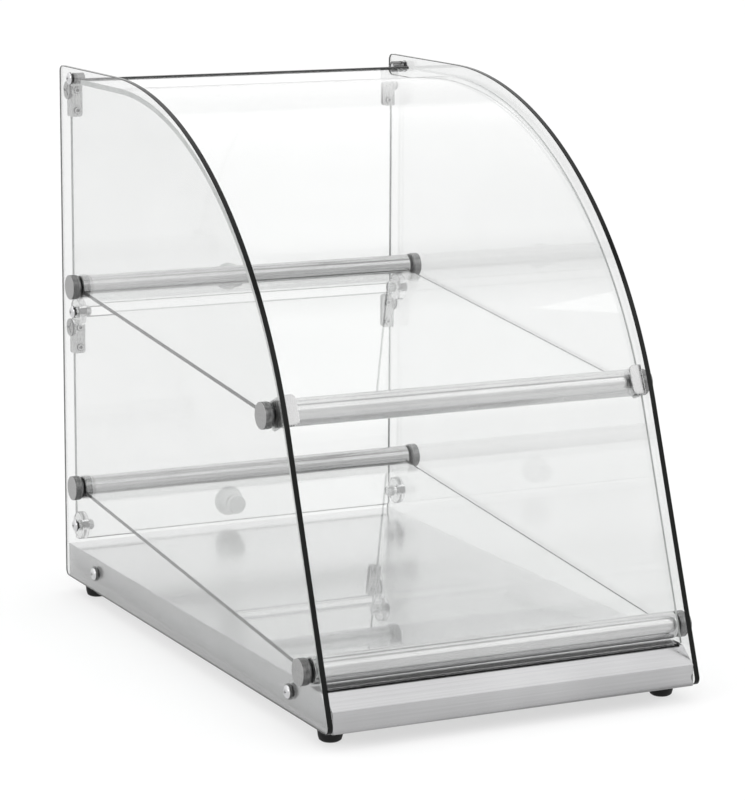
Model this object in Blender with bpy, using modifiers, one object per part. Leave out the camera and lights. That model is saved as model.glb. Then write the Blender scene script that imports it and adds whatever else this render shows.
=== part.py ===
"""A countertop bakery display case: bent glass on a steel base, two glass shelves and two rear doors.

X runs across the case, +Y to the back, +Z up. The origin is the bottom centre of the whole case, on
the surface that its feet stand on. Places in the side view are stations, measured back from where the
front slope would meet the underside of the base, and heights, measured up from that underside.
"""

import math

import bmesh
import bpy
from mathutils import Matrix, Vector

# Fits
GAP = 0.0003
HOLE_CLEARANCE = 0.0003
WASHER = 0.0008

# Whole case
CASE_WIDTH = 0.291
CASE_DEPTH = 0.495
CASE_HEIGHT = 0.409
GLASS = 0.004
SHELF_GLASS = 0.003
GLASS_INSIDE = CASE_WIDTH / 2 - GLASS
CORNER_RADIUS = 0.005

# Front line of the side glass: a straight slope that an arc carries over into the flat top
FRONT_SLOPE = math.radians(70.1)
FRONT_RADIUS = 0.330

# Feet
FOOT_HEIGHT = 0.012
FOOT_RADIUS = 0.0090
FOOT_X = 0.1305
FOOT_INSET = 0.030
FOOT_STUD_RADIUS = 0.002
FOOT_STUD_LENGTH = 0.006

# Base
BASE_HALF_WIDTH = GLASS_INSIDE - GAP
BASE_FRONT = 0.004
BASE_BACK = 0.4915
BASE_LIP_HEIGHT = 0.0156
DECK_HEIGHT = 0.0265
DECK_FRONT = 0.0188
SHEET = 0.0012
BASE_ANGLE_WIDTH = 0.022
BASE_ANGLE_HEIGHT = 0.010
BASE_SCREW_STATIONS = (0.0640, 0.4290)
BASE_SCREW_HEIGHT = 0.0152

# Curved front pane, inside the front line of the side glass
PANE_TOP = 0.4005
PANE_BACK = 0.4575
PANE_INSET = 0.0065
PANE_RADIUS = 0.3215
PANE_BOTTOM = 0.0269
PANE_HALF_WIDTH = 0.1394

# Rails and their end caps
FRONT_RAIL_RADIUS = 0.00975
REAR_RAIL_RADIUS = 0.0086
RAIL_BORE = 0.0035
RAIL_END = GLASS_INSIDE - WASHER
REAR_RAIL_STATION = 0.4602
UPPER_REAR_HEIGHT = 0.2388
LOWER_REAR_HEIGHT = 0.0783
UPPER_FRONT_HEIGHT = 0.2023
LOWER_FRONT_HEIGHT = 0.0370
CAP_RADIUS = 0.0096
CAP_THICKNESS = 0.0065
CAP_BEVEL = 0.0005
STUD_RADIUS = 0.0032
STUD_END = 0.128

# Shelves, held in slots of the rails
SHELF_DROP = 0.0035
SLOT_FLOOR = 0.0046
SHELF_HALF_WIDTH = 0.1400

# Clips that hold the pane to the upper front rail
CLIP_THICKNESS = 0.0015
CLIP_LIP = 0.002
CLIP_WIDTH = 0.0098
CLIP_UP = 0.0098
CLIP_DOWN = 0.0118
CLIP_BACK = 0.0045

# Doors, hung near their top edge
DOOR_HEIGHT = 0.180
DOOR_HALF_WIDTH = 0.1376
DOOR_STATION = 0.4835
DOOR_ABOVE_PIVOT = 0.008
UPPER_PIVOT_HEIGHT = 0.3903
LOWER_PIVOT_HEIGHT = 0.2030
KNOB_DROP = 0.158
KNOB_RADIUS = 0.012
KNOB_END = 0.016
KNOB_DISH = 0.0006
KNOB_EDGE = 0.0020
KNOB_RIM = 0.0040
KNOB_FLARE = 0.0070
KNOB_NECK = 0.0077
KNOB_FOOT = 0.0079
KNOB_BORE = 0.0028
KNOB_STUD = 0.0025
BOSS_RADIUS = 0.0077
BOSS_END = 0.0063
BOSS_BEVEL = 0.0010

DOOR_CORNER = 0.002

# Hinges: a clamp on the door and a pivot on the side glass
BRACKET_SHEET = 0.0015
BRACKET_WIDTH = 0.0100
BRACKET_ABOVE_PIVOT = 0.0065
BRACKET_HEIGHT = 0.0272
EAR_RADIUS = 0.0065
PIVOT_RADIUS = 0.0025
PIVOT_DISC = 0.0070
PIVOT_DISC_THICKNESS = 0.0015

# Door stops and screws
STOP_STATION = 0.4702
STOP_RADIUS = 0.0110
STOP_THICKNESS = 0.006
LOWER_STOP_HEIGHT = 0.0454
MIDDLE_STOP_HEIGHT = 0.2175
TOP_STOP_HEIGHT = 0.4005
NUT_RADIUS = 0.0043
NUT_LENGTH = 0.006
TOP_SPACER_LENGTH = 0.009
SCREW_RADIUS = 0.0025
SCREW_HEAD_RADIUS = 0.0048
SCREW_HEAD_HEIGHT = 0.0026
BASE_SCREW_LENGTH = 0.010
STOP_BEVEL = 0.0008
NUT_BEVEL = 0.0004

# The case reaches from the rounded front corner of the side glass to the ends of the door knobs
FRONT_STATION = CORNER_RADIUS / math.tan(FRONT_SLOPE / 2) - CORNER_RADIUS
MIDDLE_STATION = (FRONT_STATION + DOOR_STATION + KNOB_END) / 2
SIDES = {"left": -1, "right": 1}


def clear_scene():
    for old in list(bpy.data.objects):
        bpy.data.objects.remove(old, do_unlink=True)


def new_collection(name):
    collection = bpy.data.collections.new(name)
    bpy.context.scene.collection.children.link(collection)
    return collection


def make_material(name, colour, roughness, metallic=0.0, transmission=0.0):
    made = bpy.data.materials.new(name)
    made.use_nodes = True
    shader = made.node_tree.nodes["Principled BSDF"]
    shader.inputs["Base Color"].default_value = (*colour, 1)
    shader.inputs["Roughness"].default_value = roughness
    shader.inputs["Metallic"].default_value = metallic
    shader.inputs["Transmission Weight"].default_value = transmission
    made.diffuse_color = (*colour, 1)
    return made


clear_scene()
PARTS = new_collection("bakery_display_case")
CUTTERS = new_collection("cutters")
CLEAR_GLASS = make_material("clear_glass", (0.93, 0.95, 0.94), 0.02, transmission=1.0)
STEEL = make_material("brushed_steel", (0.66, 0.66, 0.65), 0.28, metallic=1.0)
CHROME = make_material("chrome", (0.82, 0.82, 0.83), 0.08, metallic=1.0)
ZINC = make_material("satin_metal", (0.60, 0.60, 0.60), 0.35, metallic=1.0)
CLEAR_PLASTIC = make_material("clear_plastic", (0.88, 0.88, 0.87), 0.25, transmission=0.7)
GREY_PLASTIC = make_material("grey_plastic", (0.55, 0.55, 0.55), 0.35)
RUBBER = make_material("black_rubber", (0.02, 0.02, 0.02), 0.7)


def back(station):
    """World Y of a station."""
    return station - MIDDLE_STATION


def up(height):
    """World Z of a height above the underside of the base."""
    return height + FOOT_HEIGHT


def slope_station(height, inset=0.0):
    """Station of the front slope at a height, at this distance inside it."""
    return height / math.tan(FRONT_SLOPE) + inset / math.sin(FRONT_SLOPE)


# Side-view lines that several pieces share
SLOPE_OUT = Vector((-math.sin(FRONT_SLOPE), math.cos(FRONT_SLOPE)))
PANE_CENTRE = Vector((
    slope_station(PANE_TOP, PANE_INSET) + PANE_RADIUS * math.tan(FRONT_SLOPE / 2),
    PANE_TOP - PANE_RADIUS,
))
RAIL_REACH = FRONT_RAIL_RADIUS + GAP
UPPER_RAIL_DISTANCE = PANE_RADIUS - GLASS - RAIL_REACH
UPPER_FRONT_STATION = PANE_CENTRE.x - math.sqrt(
    UPPER_RAIL_DISTANCE**2 - (UPPER_FRONT_HEIGHT - PANE_CENTRE.y) ** 2
)
LOWER_FRONT_STATION = slope_station(LOWER_FRONT_HEIGHT, PANE_INSET + GLASS + RAIL_REACH)
RAILS = {
    "upper_rear": Vector((REAR_RAIL_STATION, UPPER_REAR_HEIGHT)),
    "lower_rear": Vector((REAR_RAIL_STATION, LOWER_REAR_HEIGHT)),
    "upper_front": Vector((UPPER_FRONT_STATION, UPPER_FRONT_HEIGHT)),
    "lower_front": Vector((LOWER_FRONT_STATION, LOWER_FRONT_HEIGHT)),
}


def circle(centre, radius, steps):
    turn = 2 * math.pi / steps
    return [
        Vector((centre[0] + radius * math.cos(i * turn), centre[1] + radius * math.sin(i * turn)))
        for i in range(steps)
    ]


def rounded(corners, radii, steps):
    """The outline with each corner replaced by an arc of its radius, drawn in this many steps."""
    outline = []
    for i, (corner, radius, count) in enumerate(zip(corners, radii, steps)):
        corner = Vector(corner)
        if radius == 0:
            outline.append(corner)
            continue
        to_last = (Vector(corners[i - 1]) - corner).normalized()
        to_next = (Vector(corners[(i + 1) % len(corners)]) - corner).normalized()
        half = to_last.angle(to_next) / 2
        centre = corner + (to_last + to_next).normalized() * radius / math.sin(half)
        start = corner + to_last * radius / math.tan(half) - centre
        sweep = start.angle_signed(corner + to_next * radius / math.tan(half) - centre)
        for step in range(count + 1):
            outline.append(centre + start @ Matrix.Rotation(sweep * step / count, 2))
    return outline


def extruded(name, outlines, thickness, material, parent=None):
    """A flat sheet in its own XY plane: the first outline is its edge and the others are holes."""
    curve = bpy.data.curves.new(name, "CURVE")
    curve.dimensions = "2D"
    curve.fill_mode = "BOTH"
    curve.extrude = thickness / 2
    for outline in outlines:
        spline = curve.splines.new("POLY")
        spline.points.add(len(outline) - 1)
        for point, place in zip(spline.points, outline):
            point.co = (place[0], place[1], 0, 1)
        spline.use_cyclic_u = True
    curve.materials.append(material)
    sheet = bpy.data.objects.new(name, curve)
    PARTS.objects.link(sheet)
    sheet.parent = parent
    return sheet


def facing_x(sheet, x, y=0.0, z=0.0):
    """Stands a flat sheet in the YZ plane, with its own X to the back and its own Y up."""
    sheet.rotation_euler = (math.pi / 2, 0, math.pi / 2)
    sheet.location = (x, y, z)
    return sheet


def meshed(curve_object):
    """The same piece as a mesh, which a Boolean can cut."""
    name = curve_object.name
    bpy.context.view_layer.update()
    graph = bpy.context.evaluated_depsgraph_get()
    mesh = bpy.data.meshes.new_from_object(curve_object.evaluated_get(graph))
    shape = bmesh.new()
    shape.from_mesh(mesh)
    bmesh.ops.remove_doubles(shape, verts=shape.verts, dist=1e-6)
    shape.to_mesh(mesh)
    shape.free()
    solid = bpy.data.objects.new(name, mesh)
    PARTS.objects.link(solid)
    solid.parent = curve_object.parent
    solid.matrix_world = curve_object.matrix_world
    bpy.data.objects.remove(curve_object)
    solid.name = name
    return solid


def cylinders(name, places, radius, length, direction, parent=None):
    """One cutter made of equal cylinders, each centred on its place."""
    shape = bmesh.new()
    turn = Vector((0, 0, 1)).rotation_difference(Vector(direction)).to_matrix().to_4x4()
    for place in places:
        bmesh.ops.create_cone(
            shape, cap_ends=True, segments=16, radius1=radius, radius2=radius, depth=length,
            matrix=Matrix.Translation(place) @ turn,
        )
    mesh = bpy.data.meshes.new(name)
    shape.to_mesh(mesh)
    shape.free()
    cutter = bpy.data.objects.new(name, mesh)
    CUTTERS.objects.link(cutter)
    cutter.parent = parent
    cutter.hide_render = True
    cutter.display_type = "WIRE"
    return cutter


def combine(target, other, operation="DIFFERENCE"):
    boolean = target.modifiers.new(operation.lower(), "BOOLEAN")
    boolean.operation = operation
    boolean.solver = "EXACT"
    boolean.object = other


def profile_mesh(name, profile, material, closed=False):
    """A turned piece's profile as (radius, height), from its top down its outer side."""
    mesh = bpy.data.meshes.new(name)
    edges = [(i, i + 1) for i in range(len(profile) - 1)]
    if closed:
        edges.append((len(profile) - 1, 0))
    mesh.from_pydata([(radius, 0, height) for radius, height in profile], edges, [])
    mesh.materials.append(material)
    return mesh


def turned(name, mesh, place, steps, turn=(0, 0, 0), parent=None):
    piece = bpy.data.objects.new(name, mesh)
    PARTS.objects.link(piece)
    piece.parent = parent
    piece.location = place
    piece.rotation_euler = turn
    screw = piece.modifiers.new("turn", "SCREW")
    screw.steps = screw.render_steps = steps
    screw.use_merge_vertices = True
    screw.merge_threshold = 1e-6
    screw.use_smooth_shade = True
    return piece


def outward(side):
    """Turns a piece's own +Z to the outside of this side, so its heights are distances from the middle."""
    return (0, side * math.pi / 2, 0)


def make_side_glass():
    top_front = (slope_station(CASE_HEIGHT), CASE_HEIGHT)
    corners = [(CASE_DEPTH, 0), (CASE_DEPTH, CASE_HEIGHT), top_front, (0, 0)]
    radii = (CORNER_RADIUS, CORNER_RADIUS, FRONT_RADIUS, CORNER_RADIUS)
    outlines = [rounded(corners, radii, (4, 4, 30, 4))]
    for axis in RAILS.values():
        outlines.append(circle(axis, STUD_RADIUS + HOLE_CLEARANCE, 14))
    for height in (LOWER_STOP_HEIGHT, MIDDLE_STOP_HEIGHT, TOP_STOP_HEIGHT):
        outlines.append(circle((STOP_STATION, height), SCREW_RADIUS + HOLE_CLEARANCE, 12))
    for station in BASE_SCREW_STATIONS:
        outlines.append(circle((station, BASE_SCREW_HEIGHT), SCREW_RADIUS + HOLE_CLEARANCE, 12))
    for name, side in SIDES.items():
        sheet = extruded(f"side_glass_{name}", outlines, GLASS, CLEAR_GLASS)
        facing_x(sheet, side * (CASE_WIDTH / 2 - GLASS / 2), back(0), up(0))


def make_curved_pane():
    foot = Vector((slope_station(PANE_BOTTOM, PANE_INSET + GLASS), PANE_BOTTOM))
    under = PANE_TOP - GLASS
    corners = [
        (PANE_BACK, PANE_TOP),
        (slope_station(PANE_TOP, PANE_INSET), PANE_TOP),
        foot + GLASS * SLOPE_OUT,
        foot,
        (slope_station(under, PANE_INSET + GLASS), under),
        (PANE_BACK, under),
    ]
    radii = (0, PANE_RADIUS, 0, 0, PANE_RADIUS - GLASS, 0)
    outline = rounded(corners, radii, (0, 28, 0, 0, 28, 0))
    sheet = extruded("curved_front_glass", [outline], 2 * PANE_HALF_WIDTH, CLEAR_GLASS)
    facing_x(sheet, 0, back(0), up(0))


def rail_outline(radius, slot_side, slope):
    """A round section with an open slot for the shelf, on the shelf's own slope."""
    half_slot = SHELF_GLASS / 2 + GAP
    lips = [math.asin((drop - SHELF_DROP) / radius) for drop in (half_slot, -half_slot)]
    start, end = lips[0], lips[1] + 2 * math.pi
    steps = 28
    outline = []
    for step in range(steps + 1):
        angle = start + (end - start) * step / steps
        outline.append(Vector((math.cos(angle), math.sin(angle))) * radius)
    outline.append(Vector((SLOT_FLOOR, -half_slot - SHELF_DROP)))
    outline.append(Vector((SLOT_FLOOR, half_slot - SHELF_DROP)))
    placed = []
    for point in outline:
        flipped = Vector((slot_side * point.x, point.y))
        placed.append(flipped @ Matrix.Rotation(-slope, 2))
    return placed


def make_level(level):
    """One shelf and the two rails that carry it."""
    front, rear = RAILS[f"{level}_front"], RAILS[f"{level}_rear"]
    run = rear - front
    slope = math.atan2(run.y, run.x)
    length = run.length - 2 * (SLOT_FLOOR + GAP)
    for name, axis, radius, slot_side in (
        ("front", front, FRONT_RAIL_RADIUS, 1), ("rear", rear, REAR_RAIL_RADIUS, -1),
    ):
        clipped = (level, name) == ("upper", "front")
        end = PANE_HALF_WIDTH if clipped else RAIL_END
        outlines = [rail_outline(radius, slot_side, slope), circle((0, 0), RAIL_BORE, 12)]
        bar = extruded(f"rail_{level}_{name}", outlines, 2 * end, STEEL)
        facing_x(bar, 0, back(axis.x), up(axis.y))
        make_caps(f"{level}_{name}", axis)
    half_length, half_sheet = length / 2, SHELF_GLASS / 2
    section = [
        (-half_length, -half_sheet), (half_length, -half_sheet),
        (half_length, half_sheet), (-half_length, half_sheet),
    ]
    middle = (front + rear) / 2 + Vector((math.sin(slope), -math.cos(slope))) * SHELF_DROP
    turned_section = [middle + Vector(point) @ Matrix.Rotation(-slope, 2) for point in section]
    sheet = extruded(f"{level}_shelf_glass", [turned_section], 2 * SHELF_HALF_WIDTH, CLEAR_GLASS)
    facing_x(sheet, 0, back(0), up(0))


def make_caps(place, axis):
    inner = CASE_WIDTH / 2 + WASHER
    outer = inner + CAP_THICKNESS
    profile = [
        (0, outer), (CAP_RADIUS - CAP_BEVEL, outer), (CAP_RADIUS, outer - CAP_BEVEL),
        (CAP_RADIUS, inner), (STUD_RADIUS, inner), (STUD_RADIUS, STUD_END), (0, STUD_END),
    ]
    mesh = profile_mesh("cap", profile, STEEL)
    for name, side in SIDES.items():
        turned(f"rail_cap_{place}_{name}", mesh, (0, back(axis.x), up(axis.y)), 20, outward(side))


def make_clips():
    """L-shaped clips: a leg between the side glass and the rail, and a lip over the front of the pane."""
    axis = RAILS["upper_front"]
    out = (axis - PANE_CENTRE).normalized()
    lean = math.atan2(out.y, -out.x)
    pane_face = PANE_RADIUS - UPPER_RAIL_DISTANCE + GAP
    outer_x, inner_x = GLASS_INSIDE - GAP, GLASS_INSIDE - GAP - CLIP_THICKNESS
    tip = pane_face + CLIP_LIP
    section = [
        (outer_x, -CLIP_BACK), (outer_x, tip), (outer_x - CLIP_WIDTH, tip),
        (outer_x - CLIP_WIDTH, pane_face), (inner_x, pane_face), (inner_x, -CLIP_BACK),
    ]
    tall = CLIP_UP + CLIP_DOWN
    hole_place = ((outer_x + inner_x) / 2, 0, (CLIP_DOWN - CLIP_UP) / 2)
    for name, side in SIDES.items():
        outline = [(side * x, -toward) for x, toward in section]
        clip = extruded(f"pane_clip_{name}", [outline], tall, ZINC)
        clip.rotation_euler = (-lean, 0, 0)
        middle = axis + Vector((-out.y, out.x)) * (CLIP_DOWN - CLIP_UP) / 2
        clip.location = (0, back(middle.x), up(middle.y))
        clip = meshed(clip)
        place = (side * hole_place[0], 0, hole_place[2])
        hole = cylinders(
            f"clip_hole_{name}", [place], STUD_RADIUS + HOLE_CLEARANCE, 4 * CLIP_THICKNESS, (1, 0, 0), clip
        )
        combine(clip, hole)


def make_base():
    profile = [
        (BASE_FRONT, 0), (BASE_FRONT, BASE_LIP_HEIGHT), (DECK_FRONT, DECK_HEIGHT),
        (BASE_BACK, DECK_HEIGHT), (BASE_BACK, 0),
    ]
    block = facing_x(extruded("base_pan", [profile], 2 * BASE_HALF_WIDTH, STEEL), 0, back(0), up(0))
    pan = meshed(block)
    shape = bmesh.new()
    shape.from_mesh(pan.data)
    shape.transform(pan.matrix_world)
    shape.normal_update()
    underside = min(shape.faces, key=lambda face: face.calc_center_median().z)
    bmesh.ops.delete(shape, geom=[underside], context="FACES")
    shape.to_mesh(pan.data)
    shape.free()
    pan.matrix_world = Matrix.Identity(4)
    shell = pan.modifiers.new("sheet", "SOLIDIFY")
    shell.thickness = SHEET
    shell.offset = -1
    shell.use_even_offset = True
    screw_places = [
        (0, back(station), up(BASE_SCREW_HEIGHT)) for station in BASE_SCREW_STATIONS
    ]
    screw_hole = SCREW_RADIUS + HOLE_CLEARANCE
    across = 2 * BASE_HALF_WIDTH + BASE_ANGLE_WIDTH
    combine(pan, cylinders("base_screw_holes", screw_places, screw_hole, across, (1, 0, 0)))


def make_base_angles():
    """Two folded angles inside the pan, which carry the feet."""
    outer = BASE_HALF_WIDTH - SHEET - GAP
    inner = outer - BASE_ANGLE_WIDTH
    section = [
        (outer, 0), (outer, BASE_ANGLE_HEIGHT), (outer - SHEET, BASE_ANGLE_HEIGHT),
        (outer - SHEET, SHEET), (inner, SHEET), (inner, 0),
    ]
    front, rear = BASE_FRONT + SHEET + GAP, BASE_BACK - SHEET - GAP
    stud_hole = FOOT_STUD_RADIUS + HOLE_CLEARANCE
    for name, side in SIDES.items():
        angle = extruded(f"base_angle_{name}", [[(side * x, z) for x, z in section]], rear - front, STEEL)
        angle.rotation_euler = (math.pi / 2, 0, 0)
        angle.location = (0, back((front + rear) / 2), up(0))
        angle = meshed(angle)
        holes = cylinders(f"foot_holes_{name}", foot_places(up(0)), stud_hole, BASE_LIP_HEIGHT, (0, 0, 1))
        combine(angle, holes)


def foot_places(z):
    stations = {"front": FOOT_INSET, "rear": CASE_DEPTH - FOOT_INSET}
    return [(side * FOOT_X, back(station), z) for station in stations.values() for side in SIDES.values()]


def make_feet():
    top = FOOT_HEIGHT - GAP
    profile = [
        (0, FOOT_HEIGHT + FOOT_STUD_LENGTH), (FOOT_STUD_RADIUS, FOOT_HEIGHT + FOOT_STUD_LENGTH),
        (FOOT_STUD_RADIUS, top), (FOOT_RADIUS, top), (FOOT_RADIUS, 0.65 * FOOT_HEIGHT),
        (0.93 * FOOT_RADIUS, 0.25 * FOOT_HEIGHT), (0.82 * FOOT_RADIUS, 0.06 * FOOT_HEIGHT),
        (0.66 * FOOT_RADIUS, 0), (0, 0),
    ]
    mesh = profile_mesh("foot", profile, RUBBER)
    names = [f"foot_{end}_{side}" for end in ("front", "rear") for side in SIDES]
    for name, place in zip(names, foot_places(0)):
        turned(name, mesh, place, 18)


def screw_profile(head_base, tip):
    """A pan-head screw whose shank ends at this distance from the middle of the case."""
    top = head_base + SCREW_HEAD_HEIGHT
    return [
        (0, top), (0.55 * SCREW_HEAD_RADIUS, top - 0.08 * SCREW_HEAD_HEIGHT),
        (0.9 * SCREW_HEAD_RADIUS, top - 0.45 * SCREW_HEAD_HEIGHT), (SCREW_HEAD_RADIUS, head_base),
        (SCREW_RADIUS, head_base), (SCREW_RADIUS, tip), (0, tip),
    ]


def ring_profile(outer, bore, top, bottom, bevel):
    return [
        (outer - bevel, top), (outer, top - bevel), (outer, bottom + bevel), (outer - bevel, bottom),
        (bore, bottom), (bore, top),
    ]


def make_stops():
    """Round stops for the doors on screws through the side glass, and the top spacers behind the pane."""
    head_base = CASE_WIDTH / 2 + GAP
    inside = GLASS_INSIDE - GAP
    bore = SCREW_RADIUS + HOLE_CLEARANCE
    nut_top = inside - STOP_THICKNESS - GAP
    nut_end = nut_top - NUT_LENGTH
    spacer_end = inside - TOP_SPACER_LENGTH
    disc_ring = ring_profile(STOP_RADIUS, bore, inside, inside - STOP_THICKNESS, STOP_BEVEL)
    nut_ring = ring_profile(NUT_RADIUS, bore, nut_top, nut_end, NUT_BEVEL)
    spacer_ring = ring_profile(NUT_RADIUS, bore, inside, spacer_end, NUT_BEVEL)
    disc = profile_mesh("disc", disc_ring, CLEAR_PLASTIC, closed=True)
    nut = profile_mesh("nut", nut_ring, ZINC, closed=True)
    spacer = profile_mesh("spacer", spacer_ring, ZINC, closed=True)
    long_screw = profile_mesh("long_screw", screw_profile(head_base, nut_end + GAP), CHROME)
    short_screw = profile_mesh("short_screw", screw_profile(head_base, spacer_end + GAP), CHROME)
    for name, side in SIDES.items():
        turn = outward(side)
        for level, height in (("lower", LOWER_STOP_HEIGHT), ("middle", MIDDLE_STOP_HEIGHT)):
            place = (0, back(STOP_STATION), up(height))
            turned(f"door_stop_{level}_{name}", disc, place, 20, turn)
            turned(f"stop_nut_{level}_{name}", nut, place, 12, turn)
            turned(f"stop_screw_{level}_{name}", long_screw, place, 12, turn)
        place = (0, back(STOP_STATION), up(TOP_STOP_HEIGHT))
        turned(f"pane_spacer_{name}", spacer, place, 12, turn)
        turned(f"spacer_screw_{name}", short_screw, place, 12, turn)


def make_base_screws():
    head_base = CASE_WIDTH / 2 + WASHER
    mesh = profile_mesh("base_screw", screw_profile(head_base, GLASS_INSIDE - BASE_SCREW_LENGTH), CHROME)
    for end, station in zip(("front", "rear"), BASE_SCREW_STATIONS):
        for name, side in SIDES.items():
            place = (0, back(station), up(BASE_SCREW_HEIGHT))
            turned(f"base_screw_{end}_{name}", mesh, place, 12, outward(side))


def make_bracket(level, name, side, hinge):
    """A clamp round the edge of the door, with an ear that turns on the pivot."""
    web_out = GLASS_INSIDE - 2 * GAP - PIVOT_DISC_THICKNESS
    web_in = web_out - BRACKET_SHEET
    tip = web_out - BRACKET_WIDTH
    near = GLASS / 2 + GAP
    far = near + BRACKET_SHEET
    section = [
        (web_out, -far), (web_out, far), (tip, far), (tip, near),
        (web_in, near), (web_in, -near), (tip, -near), (tip, -far),
    ]
    clamp = extruded(
        f"hinge_bracket_{level}_{name}", [[(side * x, y) for x, y in section]], BRACKET_HEIGHT, ZINC, hinge
    )
    clamp.location = (0, 0, BRACKET_ABOVE_PIVOT - BRACKET_HEIGHT / 2)
    clamp = meshed(clamp)
    middle = side * (web_out + web_in) / 2
    at_pivot = (middle, 0, -clamp.location.z)
    key = f"{level}_{name}"
    ear = cylinders(f"ear_{key}", [at_pivot], EAR_RADIUS, BRACKET_SHEET, (1, 0, 0), clamp)
    combine(clamp, ear, "UNION")
    bore_radius = PIVOT_RADIUS + HOLE_CLEARANCE
    bore = cylinders(f"ear_bore_{key}", [at_pivot], bore_radius, 3 * BRACKET_SHEET, (1, 0, 0), clamp)
    combine(clamp, bore)


def make_pivots(level, height):
    inside = GLASS_INSIDE - GAP
    step = inside - PIVOT_DISC_THICKNESS
    tip = step - GAP - BRACKET_SHEET
    profile = [
        (0, inside), (PIVOT_DISC, inside), (PIVOT_DISC, step),
        (PIVOT_RADIUS, step), (PIVOT_RADIUS, tip), (0, tip),
    ]
    mesh = profile_mesh("pivot", profile, ZINC)
    for name, side in SIDES.items():
        place = (0, back(DOOR_STATION), up(height))
        turned(f"hinge_pivot_{level}_{name}", mesh, place, 16, outward(side))


def make_knob(level, hinge):
    to_back = (-math.pi / 2, 0, 0)
    place = (0, 0, -KNOB_DROP)
    near = GLASS / 2 + GAP
    stud_tip = 0.75 * KNOB_END
    knob = [
        (0, KNOB_END - KNOB_DISH), (0.6 * KNOB_RADIUS, KNOB_END), (0.86 * KNOB_RADIUS, KNOB_END),
        (KNOB_RADIUS, KNOB_END - KNOB_EDGE), (KNOB_RADIUS, KNOB_END - KNOB_RIM),
        (0.82 * KNOB_RADIUS, KNOB_END - KNOB_FLARE), (KNOB_NECK, near + KNOB_EDGE), (KNOB_FOOT, near),
        (KNOB_BORE, near), (KNOB_BORE, stud_tip + GAP), (0, stud_tip + GAP),
    ]
    turned(f"door_knob_{level}", profile_mesh("knob", knob, GREY_PLASTIC), place, 24, to_back, hinge)
    boss = [
        (0, stud_tip), (KNOB_STUD, stud_tip), (KNOB_STUD, -near), (BOSS_RADIUS, -near),
        (BOSS_RADIUS, -BOSS_END + BOSS_BEVEL), (BOSS_RADIUS - BOSS_BEVEL, -BOSS_END), (0, -BOSS_END),
    ]
    turned(f"knob_boss_{level}", profile_mesh("boss", boss, GREY_PLASTIC), place, 20, to_back, hinge)


def make_door(level, height):
    """A flap door; its pieces are placed from an empty on the hinge axis."""
    hinge = bpy.data.objects.new(f"{level}_door_axis", None)
    PARTS.objects.link(hinge)
    hinge.location = (0, back(DOOR_STATION), up(height))
    bottom = DOOR_ABOVE_PIVOT - DOOR_HEIGHT
    corners = [
        (-DOOR_HALF_WIDTH, bottom), (DOOR_HALF_WIDTH, bottom),
        (DOOR_HALF_WIDTH, DOOR_ABOVE_PIVOT), (-DOOR_HALF_WIDTH, DOOR_ABOVE_PIVOT),
    ]
    outline = rounded(corners, (DOOR_CORNER,) * 4, (2,) * 4)
    hole = circle((0, -KNOB_DROP), KNOB_STUD + HOLE_CLEARANCE, 12)
    sheet = extruded(f"{level}_door_glass", [outline, hole], GLASS, CLEAR_GLASS, hinge)
    sheet.rotation_euler = (math.pi / 2, 0, 0)
    for name, side in SIDES.items():
        make_bracket(level, name, side, hinge)
    make_knob(level, hinge)
    make_pivots(level, height)


make_side_glass()
make_curved_pane()
make_level("upper")
make_level("lower")
make_clips()
make_base()
make_base_angles()
make_feet()
make_stops()
make_base_screws()
make_door("upper", UPPER_PIVOT_HEIGHT)
make_door("lower", LOWER_PIVOT_HEIGHT)
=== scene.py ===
import math

import bmesh
import bpy
from mathutils import Euler, Matrix, Vector


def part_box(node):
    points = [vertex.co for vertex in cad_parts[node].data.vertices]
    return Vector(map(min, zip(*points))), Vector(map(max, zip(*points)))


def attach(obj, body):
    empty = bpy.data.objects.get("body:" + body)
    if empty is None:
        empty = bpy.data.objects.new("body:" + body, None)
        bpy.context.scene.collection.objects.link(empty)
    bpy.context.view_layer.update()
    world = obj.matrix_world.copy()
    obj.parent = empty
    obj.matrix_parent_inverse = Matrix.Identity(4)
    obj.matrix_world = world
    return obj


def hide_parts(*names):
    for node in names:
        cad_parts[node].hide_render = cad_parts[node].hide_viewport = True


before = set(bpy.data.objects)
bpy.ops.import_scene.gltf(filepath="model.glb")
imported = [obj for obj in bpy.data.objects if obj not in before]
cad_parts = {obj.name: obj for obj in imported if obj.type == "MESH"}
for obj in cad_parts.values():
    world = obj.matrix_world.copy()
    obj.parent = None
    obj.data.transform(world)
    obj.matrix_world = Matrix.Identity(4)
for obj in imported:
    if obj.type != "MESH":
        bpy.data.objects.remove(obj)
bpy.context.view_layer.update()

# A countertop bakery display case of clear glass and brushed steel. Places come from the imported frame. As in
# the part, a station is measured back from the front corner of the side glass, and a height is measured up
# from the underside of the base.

# Fits
GAP = 0.0003
HOLE_CLEARANCE = 0.0003
WASHER = 0.0008
HAIR = 0.00005

# Side glass
CASE_DEPTH = 0.495
CASE_HEIGHT = 0.409
FRONT_SLOPE = math.radians(70.1)
FRONT_RADIUS = 0.330
CORNER_RADIUS = 0.005
GLASS = 0.004
SHELF_GLASS = 0.003
POLISH = 0.0004
SCREW_RADIUS = 0.0025
STUD_RADIUS = 0.0032
SIDES = {"left": -1, "right": 1}
FACING_FRONT = (math.pi / 2, 0, 0)
FACING_BACK = (-math.pi / 2, 0, 0)
LEVELS = ("upper", "lower")
ENDS = ("front", "rear")


def low(node):
    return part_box(node)[0]


def high(node):
    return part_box(node)[1]


def middle(node):
    return (low(node) + high(node)) / 2


GLASS_OUTSIDE = high("side_glass_right").x
GLASS_INSIDE = low("side_glass_right").x
FRONT_CORNER = high("side_glass_left").y - CASE_DEPTH
UNDERSIDE = low("side_glass_left").z


def back(station):
    """World Y of a station."""
    return FRONT_CORNER + station


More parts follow.
